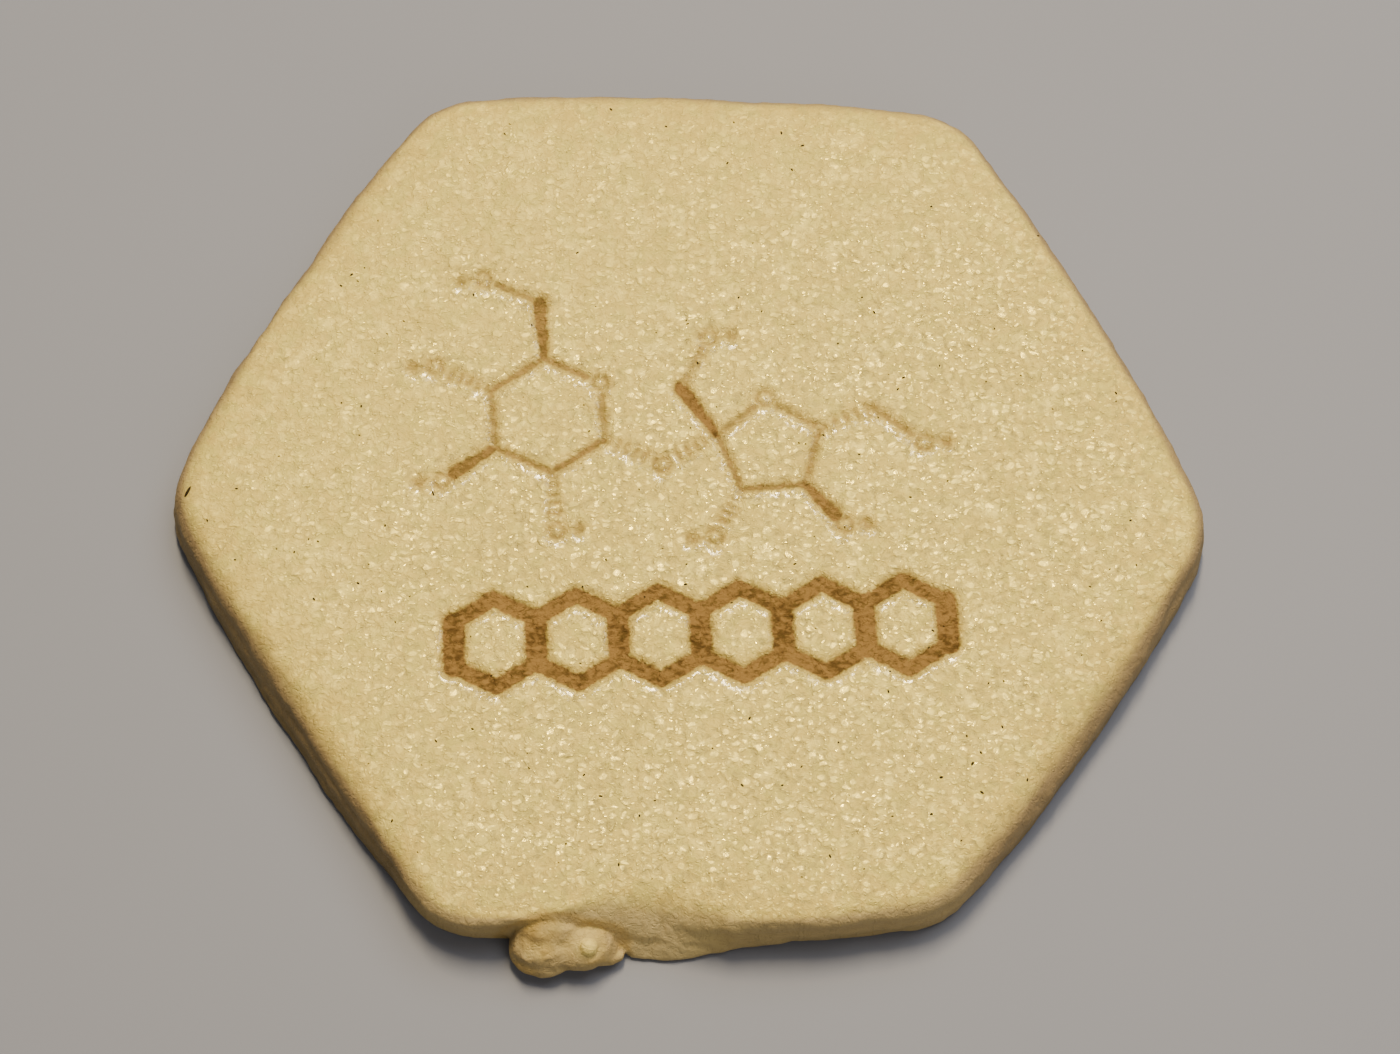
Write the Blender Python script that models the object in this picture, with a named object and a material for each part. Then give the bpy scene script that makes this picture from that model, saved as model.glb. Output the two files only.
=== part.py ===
"""A baked sugar cookie: a rolled, hexagonal slab of pale dough with a figure scorched into its top.

Every length in the constants is in millimetres, and MM turns it into Blender's metres. The cookie
lies flat on its underside at z = 0, with +X towards its right-hand corner and -Y towards its front.
"""

import math

import bmesh
import bpy
from mathutils import Vector, noise

MM = 0.001

# Driving dimensions of the slab
THICKNESS = 6.0
# One side each: the direction that the side faces, in degrees, and its distance from the centre
SIDES = (
    (27.1, 40.44),
    (87.9, 40.6),
    (150.7, 40.94),
    (213.2, 39.04),
    (270.6, 38.21),
    (325.0, 39.85),
)
# The higher this power, the flatter the sides and the sharper the bends between them
SIDE_POWER = 9.1
# Each corner also stands out by a small nose: its directions, height and half width in degrees
CORNERS = (57.6, 119.8, 179.7, 240.8, 300.2, 356.8)
CORNER_NOSE = 1.08
CORNER_SPREAD = 6.4
TOP_EDGE_RADIUS = 1.5
BOTTOM_EDGE_RADIUS = 0.8
RIM_FALL = 0.35
RIM_FALL_WIDTH = 2.3
TOP_WAVE = 0.07
TOP_WAVE_LENGTH = 7.0
WALL_WAVE = 0.16
WALL_WAVES_AROUND = 6.0
WALL_WAVE_PER_HEIGHT = 0.8

# The crease that the cutter dragged into the side wall
CREASE_HEIGHT = 3.3
CREASE_WANDER = 0.5
CREASE_DEPTH = 0.4
CREASE_WIDTH = 0.7
CREASES_AROUND = 2.5
CREASE_SHARE = 0.55

# Where the wall leans: the direction, half width in degrees, and reach of each change
RIM_SET_BACK = ((222.0, 24.0, 0.75), (264.5, 9.0, 2.2))
FOOT_SPREAD = ((266.0, 8.0, 1.0),)

# A scrap of dough baked on to the front edge: centre and half sizes of each blob
SCRAP_BLOBS = (
    ((-11.8, -38.35, 1.75), (3.0, 2.75, 1.6)),
    ((-11.4, -37.0, 3.4), (2.8, 2.1, 1.6)),
    ((-8.5, -38.1, 2.2), (2.9, 2.5, 1.9)),
    ((-6.6, -38.9, 1.3), (1.6, 1.1, 1.0)),
)
SCRAP_ROUGHNESS = 0.28
SCRAP_GRAIN = 1.3

# The scorched figure: two rings of a sugar molecule with their side arms
SCORCH_DEPTH = 0.3
FAINT_SCORCH_DEPTH = 0.2
BOND = 5.45
SHORT_BOND = 0.92 * BOND
SIX_RING_CENTRE = (-11.97, 7.87)
FIGURE_TURN = 4.7
LINE_WIDTH = 0.6
WEDGE_WIDTH = 1.3
RUNG_WIDTH = 0.42
RUNGS = 5
ATOM_RADIUS = 0.85
ATOM_LINE = 0.45
ATOM_GAP = 1.25
END_DOT_RADIUS = 0.62
END_DOT_REACH = 1.95

# The scorched honeycomb band below it
BAND_CENTRE = (1.2, -12.4)
BAND_TURN = 2.8
BAND_CELLS = 6
BAND_PITCH = 6.9
BAND_UPRIGHT = 1.9
BAND_SLANT = 1.5

# Mesh fineness
GRID_STEPS = 32
EDGE_ARC_STEPS = 3
WALL_HEIGHTS = (3.6, 3.1, 2.5, 1.7)
ATOM_SEGMENTS = 12
DOT_SEGMENTS = 8
CUTTER_HEADROOM = 1.0
SAME_PLACE = 0.01

DOUGH_COLOUR = (0.63, 0.50, 0.29, 1.0)


def bump(value, middle, spread):
    """A smooth hill of height 1 at middle, which fades over spread."""
    return math.exp(-(((value - middle) / spread) ** 2))


def turn_between(degrees, other):
    """The smaller turn from one direction to another, in degrees."""
    return (degrees - other + 180) % 360 - 180


def outline_radius(angle):
    """Distance from the centre to the outline, in the direction angle (radians)."""
    total = 0.0
    for facing, distance in SIDES:
        lean = math.cos(angle - math.radians(facing))
        if lean > 0:
            total += (lean / distance) ** SIDE_POWER
    degrees = math.degrees(angle)
    nose = sum(bump(turn_between(degrees, corner), 0, CORNER_SPREAD) for corner in CORNERS)
    return total ** (-1 / SIDE_POWER) + CORNER_NOSE * nose


def edge_change(angle, places):
    """How far the wall moves at angle because of these places, in millimetres."""
    degrees = math.degrees(angle) % 360
    return sum(reach * bump(degrees, middle, spread) for middle, spread, reach in places)


def wall_wave(angle, height):
    """Unevenness of the wall, in millimetres, the same at both ends of the turn."""
    around = Vector((math.cos(angle), math.sin(angle), 0)) * WALL_WAVES_AROUND
    return WALL_WAVE * noise.noise(around + Vector((0, 0, height * WALL_WAVE_PER_HEIGHT)))


def crease(angle, height):
    """Depth of the drag crease at this place on the wall, in millimetres."""
    around = Vector((math.cos(angle), math.sin(angle), 0)) * CREASES_AROUND
    strength = CREASE_SHARE + noise.noise(around + Vector((7, 0, 0)))
    line = CREASE_HEIGHT + CREASE_WANDER * noise.noise(around + Vector((0, 9, 0)))
    return CREASE_DEPTH * max(strength, 0.0) * bump(height, line, CREASE_WIDTH)


def wall_radius(angle, inset, height):
    """Radius of the wall at a height, with its own inset for the rounded edges."""
    share = height / THICKNESS
    rim = edge_change(angle, RIM_SET_BACK) * share
    foot = edge_change(angle, FOOT_SPREAD) * (1 - share)
    relief = wall_wave(angle, height) - crease(angle, height)
    return outline_radius(angle) - inset - rim + foot + relief


def top_height(x, y, inside):
    """Height of the top at (x, y), where inside is the distance from the top's rim."""
    wave = TOP_WAVE * noise.noise(Vector((x, y, 0)) / TOP_WAVE_LENGTH)
    at_rim = math.exp(-inside / RIM_FALL_WIDTH)
    return THICKNESS + wave * (1 - at_rim) - RIM_FALL * at_rim


def square_to_disc(u, v):
    """Share of the radius, and angle, that a point of a square grid gets on the round slab."""
    if abs(u) > abs(v):
        share, angle = u, math.pi / 4 * (v / u)
    elif v:
        share, angle = v, math.pi / 2 - math.pi / 4 * (u / v)
    else:
        return 0.0, 0.0
    return (share, angle) if share >= 0 else (-share, angle + math.pi)


def at(angle, radius, height):
    """A point in metres from a place in millimetres."""
    return Vector((radius * math.cos(angle), radius * math.sin(angle), height)) * MM


def wall_rows():
    """Inset and height of each row of the wall, from below the top rim down to the underside."""
    rows = []
    for step in range(1, EDGE_ARC_STEPS + 1):
        turn = math.pi / 2 * step / EDGE_ARC_STEPS
        inset = TOP_EDGE_RADIUS * (1 - math.sin(turn))
        rows.append((inset, THICKNESS - RIM_FALL - TOP_EDGE_RADIUS * (1 - math.cos(turn))))
    low = BOTTOM_EDGE_RADIUS
    rows += [(0.0, height) for height in (*WALL_HEIGHTS, low)]
    rows += [(low * 0.3, low * 0.3), (low, 0.0)]
    return rows


def make_slab(name):
    """The slab: a square grid rounded into the hexagon, with rows of wall extruded from its rim."""
    bm = bmesh.new()
    bmesh.ops.create_grid(bm, x_segments=GRID_STEPS, y_segments=GRID_STEPS, size=1.0)
    for vert in bm.verts:
        share, angle = square_to_disc(vert.co.x, vert.co.y)
        rim = wall_radius(angle, TOP_EDGE_RADIUS, THICKNESS)
        radius = share * rim
        x, y = radius * math.cos(angle), radius * math.sin(angle)
        vert.co = at(angle, radius, top_height(x, y, rim - radius))
    rim_edges = [edge for edge in bm.edges if edge.is_boundary]
    for inset, height in wall_rows():
        made = bmesh.ops.extrude_edge_only(bm, edges=rim_edges)["geom"]
        rim_edges = [item for item in made if isinstance(item, bmesh.types.BMEdge)]
        for vert in (item for item in made if isinstance(item, bmesh.types.BMVert)):
            angle = math.atan2(vert.co.y, vert.co.x)
            vert.co = at(angle, wall_radius(angle, inset, height), height)
    bmesh.ops.contextual_create(bm, geom=rim_edges)
    bmesh.ops.recalc_face_normals(bm, faces=bm.faces)
    return object_from(bm, name)


def object_from(bm, name):
    """A new mesh object that holds the bmesh."""
    mesh = bpy.data.meshes.new(name)
    bm.to_mesh(mesh)
    bm.free()
    return bpy.data.objects.new(name, mesh)


def make_scrap_blob(name, centre, half_sizes):
    """One uneven lump of the dough scrap."""
    bm = bmesh.new()
    bmesh.ops.create_icosphere(bm, subdivisions=2, radius=1.0)
    for vert in bm.verts:
        outward = vert.co.normalized()
        place = Vector(centre) + Vector([size * axis for size, axis in zip(half_sizes, outward)])
        place += outward * SCRAP_ROUGHNESS * noise.noise(place / SCRAP_GRAIN)
        vert.co = place * MM
    return object_from(bm, name)


def polar(length, degrees):
    """A step of this length in this direction, as a 2D vector in millimetres."""
    turn = math.radians(degrees)
    return Vector((length * math.cos(turn), length * math.sin(turn)))


def figure_layout():
    """Lines, wedges, ladders of rungs, atom rings and end dots of the molecule, in its own frame."""
    six = {turn: polar(BOND, turn) for turn in (90, 150, 210, 270, 330)}
    ring_atom = polar(BOND, 30)
    top_arm = six[90] + polar(BOND, 90)
    bridge = six[330] + polar(BOND, -30)
    joint = bridge + polar(BOND, 25)
    five_radius = BOND / (2 * math.sin(math.pi / 5))
    five_centre = joint - polar(five_radius, 162)
    five = {turn: five_centre + polar(five_radius, turn) for turn in (18, -54, -126)}
    five_atom = five_centre + polar(five_radius, 90)
    left_arm = joint + polar(BOND, 120)
    right_arm = five[18] + polar(SHORT_BOND, 18)
    ends = {
        "top_left": (top_arm + polar(BOND, 150), -1),
        "left": (six[150] + polar(BOND, 150), -1),
        "lower_left": (six[210] + polar(BOND, 210), -1),
        "below": (six[270] + polar(BOND, 270), 1),
        "top_right": (left_arm + polar(BOND, 60), 1),
        "right": (right_arm + polar(BOND, -42), 1),
        "five_right": (five[-54] + polar(SHORT_BOND, -54), 1),
        "five_left": (five[-126] + polar(SHORT_BOND, -122), -1),
    }
    tip = {key: place for key, (place, _) in ends.items()}
    lines = [
        (six[90], ring_atom),
        (six[90], six[150]),
        (six[150], six[210]),
        (six[210], six[270]),
        (six[270], six[330]),
        (six[330], ring_atom),
        (top_arm, tip["top_left"]),
        (joint, five_atom),
        (five_atom, five[18]),
        (five[18], five[-54]),
        (five[-54], five[-126]),
        (five[-126], joint),
        (left_arm, tip["top_right"]),
        (right_arm, tip["right"]),
    ]
    wedges = [
        (six[90], top_arm),
        (six[210], tip["lower_left"]),
        (joint, left_arm),
        (five[-54], tip["five_right"]),
    ]
    ladders = [
        (six[150], tip["left"]),
        (six[270], tip["below"]),
        (six[330], bridge),
        (joint, bridge),
        (five[18], right_arm),
        (five[-126], tip["five_left"]),
    ]
    atoms = [ring_atom, bridge, five_atom, *tip.values()]
    dots = [place + Vector((side * END_DOT_REACH, 0)) for place, side in ends.values()]
    return lines, wedges, ladders, atoms, dots


def on_cookie(point, centre, turn):
    """A point of a figure's own frame, turned and moved to its place on the cookie."""
    wide, high = point
    cos, sin = math.cos(math.radians(turn)), math.sin(math.radians(turn))
    return Vector((centre[0] + wide * cos - high * sin, centre[1] + wide * sin + high * cos))


def cutter_from_outlines(name, outlines, depth):
    """A flat cutter with these closed outlines, the inner ones as holes, sunk depth into the top."""
    curve = bpy.data.curves.new(name, "CURVE")
    curve.dimensions = "2D"
    curve.fill_mode = "BOTH"
    curve.extrude = (depth + CUTTER_HEADROOM) / 2 * MM
    for outline in outlines:
        spline = curve.splines.new("POLY")
        spline.points.add(len(outline) - 1)
        for point, place in zip(spline.points, outline):
            point.co = (place.x * MM, place.y * MM, 0, 1)
        spline.use_cyclic_u = True
    shape = bpy.data.objects.new(name, curve)
    shape.location.z = (THICKNESS + (CUTTER_HEADROOM - depth) / 2) * MM
    return shape


def bar_outline(start, end, start_width, end_width):
    """Corners of a straight stroke that widens from start to end."""
    along = (end - start).normalized()
    side = Vector((-along.y, along.x))
    near, far = side * start_width / 2, side * end_width / 2
    return [start + near, start - near, end - far, end + far]


def round_outline(centre, radius, corners):
    """A circle drawn with this many corners."""
    return [centre + polar(radius, 360 * corner / corners) for corner in range(corners)]


def has_atom(place, atoms):
    """Whether an atom ring is drawn at this place."""
    return any((place - atom).length < SAME_PLACE for atom in atoms)


def shortened(start, end, atoms):
    """The bond from start to end, stopped short of any atom ring at either end."""
    gap = (end - start).normalized() * ATOM_GAP
    near = start + gap if has_atom(start, atoms) else start
    far = end - gap if has_atom(end, atoms) else end
    return near, far


def figure_cutters():
    """One cutter for each stroke of the molecule."""
    lines, wedges, ladders, atoms, dots = figure_layout()
    strokes = []
    for start, end in lines:
        start, end = shortened(start, end, atoms)
        strokes.append(([bar_outline(start, end, LINE_WIDTH, LINE_WIDTH)], SCORCH_DEPTH))
    for start, end in wedges:
        start, end = shortened(start, end, atoms)
        strokes.append(([bar_outline(start, end, LINE_WIDTH, WEDGE_WIDTH)], SCORCH_DEPTH))
    for start, end in ladders:
        start, end = shortened(start, end, atoms)
        along = (end - start) / RUNGS
        side = Vector((-along.y, along.x)).normalized()
        for rung in range(RUNGS):
            middle = start + along * (rung + 0.5)
            reach = side * (LINE_WIDTH + (WEDGE_WIDTH - LINE_WIDTH) * rung / (RUNGS - 1)) / 2
            outline = bar_outline(middle - reach, middle + reach, RUNG_WIDTH, RUNG_WIDTH)
            strokes.append(([outline], FAINT_SCORCH_DEPTH))
    for atom in atoms:
        rings = [
            round_outline(atom, ATOM_RADIUS, ATOM_SEGMENTS),
            round_outline(atom, ATOM_RADIUS - ATOM_LINE, ATOM_SEGMENTS),
        ]
        strokes.append((rings, FAINT_SCORCH_DEPTH))
    for dot in dots:
        strokes.append(([round_outline(dot, END_DOT_RADIUS, DOT_SEGMENTS)], FAINT_SCORCH_DEPTH))
    made = []
    for number, (outlines, depth) in enumerate(strokes):
        placed = [[on_cookie(p, SIX_RING_CENTRE, FIGURE_TURN) for p in o] for o in outlines]
        made.append(cutter_from_outlines(f"figure_cutter_{number}", placed, depth))
    return made


def hexagon(centre, half_width, half_height):
    """An upright hexagon, with its points at the top and the bottom."""
    shoulder = half_height / 2
    return [
        centre + Vector((0, half_height)),
        centre + Vector((-half_width, shoulder)),
        centre + Vector((-half_width, -shoulder)),
        centre + Vector((0, -half_height)),
        centre + Vector((half_width, -shoulder)),
        centre + Vector((half_width, shoulder)),
    ]


def band_cutter():
    """The honeycomb band as one cutter: its zigzag outside, and the cells as islands that stay."""
    half_height = BAND_PITCH / math.sqrt(3)
    centres = [
        Vector(((cell - (BAND_CELLS - 1) / 2) * BAND_PITCH, 0)) for cell in range(BAND_CELLS)
    ]
    grown_width = (BAND_PITCH + BAND_UPRIGHT) / 2
    grown_height = half_height + BAND_SLANT / math.sqrt(3)
    valley = half_height / 2 + BAND_SLANT / math.sqrt(3)
    upper, lower = [], []
    for number, centre in enumerate(centres):
        upper.append(centre + Vector((0, grown_height)))
        lower.append(centre - Vector((0, grown_height)))
        if number < BAND_CELLS - 1:
            upper.append(centre + Vector((BAND_PITCH / 2, valley)))
            lower.append(centre + Vector((BAND_PITCH / 2, -valley)))
    shoulder = grown_height - grown_width / math.sqrt(3)
    right = [centres[-1] + Vector((grown_width, y)) for y in (shoulder, -shoulder)]
    left = [centres[0] + Vector((-grown_width, y)) for y in (-shoulder, shoulder)]
    outside = [*upper, *right, *reversed(lower), *left]
    cell_half_width = (BAND_PITCH - BAND_UPRIGHT) / 2
    cell_half_height = half_height - BAND_SLANT / math.sqrt(3)
    islands = [hexagon(centre, cell_half_width, cell_half_height) for centre in centres]
    placed = [[on_cookie(p, BAND_CENTRE, BAND_TURN) for p in o] for o in (outside, *islands)]
    return cutter_from_outlines("band_cutter", placed, SCORCH_DEPTH)


def mesh_of(shape):
    """The curve object as a closed mesh object in its place; the curve is removed."""
    bpy.context.view_layer.update()
    graph = bpy.context.evaluated_depsgraph_get()
    mesh = bpy.data.meshes.new_from_object(shape.evaluated_get(graph))
    bm = bmesh.new()
    bm.from_mesh(mesh)
    bmesh.ops.remove_doubles(bm, verts=bm.verts, dist=0.00001)
    bmesh.ops.recalc_face_normals(bm, faces=bm.faces)
    bm.to_mesh(mesh)
    bm.free()
    name, place = shape.name, shape.matrix_world.copy()
    bpy.data.objects.remove(shape)
    solid = bpy.data.objects.new(name, mesh)
    solid.matrix_world = place
    return solid


def new_collection(name):
    """A collection of this name in the scene."""
    collection = bpy.data.collections.new(name)
    bpy.context.scene.collection.children.link(collection)
    return collection


def join_with(target, helpers, operation):
    """Applies one Boolean between target and all the helpers, then removes the helpers."""
    modifier = target.modifiers.new(operation.lower(), "BOOLEAN")
    modifier.operation = operation
    modifier.solver = "EXACT"
    modifier.operand_type = "COLLECTION"
    modifier.collection = helpers
    bpy.context.view_layer.update()
    graph = bpy.context.evaluated_depsgraph_get()
    mesh = bpy.data.meshes.new_from_object(target.evaluated_get(graph))
    target.modifiers.clear()
    target.data = mesh
    for helper in list(helpers.objects):
        bpy.data.objects.remove(helper)
    bpy.data.collections.remove(helpers)


def dough_material():
    """Pale baked dough."""
    material = bpy.data.materials.new("baked_dough")
    material.use_nodes = True
    shader = material.node_tree.nodes["Principled BSDF"]
    shader.inputs["Base Color"].default_value = DOUGH_COLOUR
    shader.inputs["Roughness"].default_value = 0.5
    shader.inputs["Metallic"].default_value = 0.0
    return material


def main():
    for leftover in list(bpy.data.objects):
        bpy.data.objects.remove(leftover)
    parts = new_collection("sugar_cookie")
    cookie = make_slab("cookie")
    parts.objects.link(cookie)

    scraps = new_collection("scraps")
    for number, (centre, half_sizes) in enumerate(SCRAP_BLOBS):
        scraps.objects.link(make_scrap_blob(f"scrap_{number}", centre, half_sizes))
    join_with(cookie, scraps, "UNION")

    cutters = new_collection("cutters")
    for shape in [*figure_cutters(), band_cutter()]:
        bpy.context.scene.collection.objects.link(shape)
        cutters.objects.link(mesh_of(shape))
    join_with(cookie, cutters, "DIFFERENCE")

    cookie.data.materials.clear()
    cookie.data.materials.append(dough_material())
    cookie.data.shade_smooth()
    cookie.data.set_sharp_from_angle(angle=math.radians(40))


main()
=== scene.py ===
import math
import random
from functools import partial
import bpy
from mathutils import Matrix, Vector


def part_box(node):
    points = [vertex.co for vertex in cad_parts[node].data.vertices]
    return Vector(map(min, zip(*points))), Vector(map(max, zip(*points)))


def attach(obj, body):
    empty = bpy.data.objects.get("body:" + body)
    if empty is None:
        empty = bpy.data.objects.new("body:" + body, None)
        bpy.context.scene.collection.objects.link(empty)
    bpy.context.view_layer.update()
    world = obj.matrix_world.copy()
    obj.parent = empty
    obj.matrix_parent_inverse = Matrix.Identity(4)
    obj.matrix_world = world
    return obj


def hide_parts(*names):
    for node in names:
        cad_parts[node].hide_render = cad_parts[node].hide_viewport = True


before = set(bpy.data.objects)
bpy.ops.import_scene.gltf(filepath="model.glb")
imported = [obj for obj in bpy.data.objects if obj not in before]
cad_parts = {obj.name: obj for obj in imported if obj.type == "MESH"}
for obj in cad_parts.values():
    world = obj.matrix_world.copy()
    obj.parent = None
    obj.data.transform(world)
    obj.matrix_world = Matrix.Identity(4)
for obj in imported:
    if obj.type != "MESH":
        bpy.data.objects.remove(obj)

from types import SimpleNamespace

import bmesh
import bpy
import numpy as np
from bpy.props import FloatProperty, FloatVectorProperty, IntProperty, PointerProperty
from mathutils import Euler, Matrix, Vector, noise
from mathutils.bvhtree import BVHTree

bl_info = {
    "name": "Scorched Sugar Cookie",
    "version": (1, 0, 0),
    "blender": (4, 5, 0),
    "location": "3D View > Sidebar > Cookie",
    "description": "Builds a rolled hexagonal sugar cookie with a figure scorched into its top",
    "category": "Add Mesh",
}

# Lengths are in millimetres until a finished mesh is scaled by MM into metres
MM = 0.001
SOLID_LOW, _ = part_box("cookie")

# The outline, as the solid has it: the direction in degrees and the distance of each side
SIDES = (
    (27.1, 40.44),
    (87.9, 40.6),
    (150.7, 40.94),
    (213.2, 39.04),
    (270.6, 38.21),
    (325.0, 39.85),
)
SIDE_POWER = 9.1
CORNERS = (57.6, 119.8, 179.7, 240.8, 300.2, 356.8)
CORNER_NOSE = 1.08
CORNER_SPREAD = 6.4
THICKNESS = 6.0
RIM_FALL = 0.35
RIM_FALL_WIDTH = 2.3
TOP_WAVE = 0.07
TOP_WAVE_LENGTH = 7.0
WALL_WAVE = 0.16
WALL_WAVES_AROUND = 6.0
WALL_WAVE_PER_HEIGHT = 0.8

# Where the wall leans: the direction, half width in degrees, and reach of each change
RIM_SET_BACK = ((205.0, 26.0, 1.6), (244.0, 7.0, -0.6), (264.5, 8.5, 2.2))
FOOT_SPREAD = ((267.0, 8.0, 1.35),)
RIM_ROUNDING_CHANGE = (
    (210.0, 26.0, -0.3),
    (247.0, 12.0, -0.9),
    (266.0, 7.0, 1.0),
    (284.0, 12.0, -0.8),
    (330.0, 26.0, 0.8),
    (90.0, 40.0, 0.3),
)
CREASE_CHANGE = ((330.0, 30.0, -0.8), (266.0, 14.0, -0.8))
TORN_FACE = ((266.0, 12.0, 1.0),)

# Blobs of the dough scrap on the front edge: centre and half sizes
SCRAP_BLOBS = (
    ((-11.8, -38.5, 1.4), (3.0, 2.75, 1.6)),
    ((-11.4, -37.0, 3.4), (2.8, 2.1, 1.6)),
    ((-8.5, -38.25, 2.0), (2.9, 2.5, 1.9)),
    ((-6.8, -39.1, 1.1), (1.7, 1.2, 1.0)),
    ((-5.9, -38.5, 0.75), (1.1, 1.0, 0.75)),
    ((-11.6, -38.4, 2.35), (2.85, 2.35, 1.7)),
)
SCRAP_TIP = (-6.0, -38.9, 1.1)
SCRAP_TIP_TURN = (0, 84, -6)
SCRAP_VOXEL = 0.2
SCRAP_SOFTENING = 26
BEAD_PLACE = (-7.95, -39.1)
BEAD_RADIUS = 0.75
BEAD_SHIFT = (0, 0.1, -0.35)

# The seam between scrap and wall: its middle, its reach and the angle that counts as sharp
SEAM_CENTRE = (-9.5, -37.6, 2.5)
SEAM_REACH = 7.0
SEAM_SHARP = 24.0

# Start of the draw that shifts the pebbles, and depths of the skin's relief
PEBBLE_SEED = 3
SKIN_DEPTH = 0.04
WALL_PROUD = 0.07
LUMP_DEPTH = 0.14
GRIT_DEPTH = 0.08
UNDERSIDE_DEPTH = 0.05
SCRAP_PEBBLE_DEPTH = 0.09
CRAG_DEPTH = 0.1
TORN_CRUMB_DEPTH = 0.16
DRAG_DEPTH = 0.12
CREASE_HEIGHT = 3.3

# The scorched figure: two rings of a sugar molecule with their side arms
BOND = 5.45
SHORT_BOND = 0.92 * BOND
SIX_RING_CENTRE = (-11.97, 7.87)
FIGURE_TURN = 4.7
RUNGS = 5
ATOM_RADIUS = 0.63
ATOM_GAP = 1.25
END_DOT_REACH = 1.95

# The scorched honeycomb band
BAND_CENTRE = (1.2, -12.4)
BAND_TURN = 2.8
BAND_CELLS = 6
BAND_PITCH = 6.9

# What the mesh stores for its material: distances in millimetres, shares from 0 to 1
STORED = ("scorch_distance", "scorch_tone", "grease", "rim_distance")
STORED += ("wall_share", "scrap_share", "bead_share", "torn_share")

# How far, and to which side, the strokes' greasy edges look for the stroke
GREASE_SIDE = (0.15, 0.7)

# Where the specks' gloss and painted highlights fade at the back and the left, where the
# painted shade toward the foot begins, and where the painted light on the front wall begins,
# each from no effect to the full one
SPECK_GLINT_BACK = (32.0, 0.0)
SPECK_GLINT_LEFT = (-40.0, -12.0)
FOOT_SHADE = (3.6, 0.3)
FRONT_WALL_LIGHT = (-31.5, -36.5)

# Mesh fineness
TOP_STEPS = 225
UNDERSIDE_STEPS = 60
ROUNDING_STEPS = 9
WALL_STEPS = 8
FOOT_STEPS = 3

# Dark flecks that show clearly: place, length, width and direction
CLEAR_FLECKS = (
    ((-42.6, 0.8), 1.1, 0.3, 60),
    ((-21.6, 0.4), 0.55, 0.16, 110),
    ((21.0, -25.2), 0.35, 0.22, 20),
    ((24.3, -26.5), 0.4, 0.2, 140),
    ((28.1, -25.3), 0.3, 0.16, 80),
    ((20.1, -28.4), 0.3, 0.2, 10),
    ((23.2, -21.6), 0.26, 0.16, 100),
    ((23.6, -24.0), 0.45, 0.2, 60),
    ((16.9, -28.6), 0.24, 0.14, 0),
    ((9.5, -24.3), 0.26, 0.14, 45),
    ((37.7, -2.1), 0.26, 0.16, 30),
    ((38.0, -6.2), 0.22, 0.14, 100),
    ((34.0, -8.2), 0.26, 0.14, 150),
    ((28.9, 11.6), 0.24, 0.14, 70),
    ((31.0, 25.7), 0.3, 0.16, 20),
    ((-29.4, 21.5), 0.34, 0.2, 50),
    ((-16.3, 35.7), 0.26, 0.14, 130),
    ((-27.3, 26.9), 0.22, 0.12, 90),
)

# The photographed view: looked-at point, height of the view, distance and lens
VIEW_TARGET = (1.14, -2.84, 6.0)
VIEW_ELEVATION = 66.2
VIEW_DISTANCE = 296.7
VIEW_LENS = 90.0

# Lights: azimuth and elevation, width and length in metres, power setting and colour
LIGHTS = {
    "key_light": ((56, 61), (0.75, 0.75), "key_power", (1.0, 0.97, 0.92)),
    "fill_light": ((-62, 32), (0.6, 0.6), "fill_power", (1.0, 0.93, 0.84)),
    "glint_light": ((90, 67), (0.07, 0.34), "glint_power", (1.0, 0.79, 0.47)),
}
LIGHT_DISTANCE = 0.9
ROOM_COLOUR = (1.0, 0.9, 0.77, 1.0)
FLOOR_REACH = 1.5
FLOOR_GAP = 0.02


def length_property(label, description, default, low, high):
    """A length setting in millimetres, with its name, meaning, default and limits."""
    meaning = description + ", in millimetres"
    return FloatProperty(name=label, description=meaning, default=default, min=low, max=high)


class ShapeSettings(bpy.types.PropertyGroup):
    """Sizes of the slab."""

    rim_rounding: length_property("Rim Rounding", "Radius of the rounded top edge", 2.4, 0.2, 3.0)
    foot_rounding: length_property("Foot Rounding", "Radius of the bottom edge", 0.75, 0.2, 2.0)
    crease_depth: length_property("Crease Depth", "Depth of the crease in the wall", 0.45, 0.0, 1.0)
    pebble_height: length_property("Pebble Height", "Height of the top's pebbles", 0.27, 0.0, 0.4)


class ScorchSettings(bpy.types.PropertyGroup):
    """Sizes of the scorched strokes."""

    depth: length_property("Depth", "Depth of the strongest strokes", 0.24, 0.0, 1.0)
    line_width: length_property("Line Width", "Width of the plain strokes", 0.62, 0.2, 2.0)
    wedge_width: length_property("Wedge Width", "Width of a wedge's broad end", 1.3, 0.4, 3.0)
    band_upright: length_property("Band Upright", "Width of its upright walls", 1.95, 0.4, 3.0)
    band_slant: length_property("Band Slant", "Width of its slanted walls", 1.5, 0.4, 3.0)


def colour_property(label, description, default):
    """A colour setting with its name, meaning and default."""
    return FloatVectorProperty(
        name=label, description=description, default=default, subtype="COLOR", min=0.0, max=1.0
    )


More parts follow.
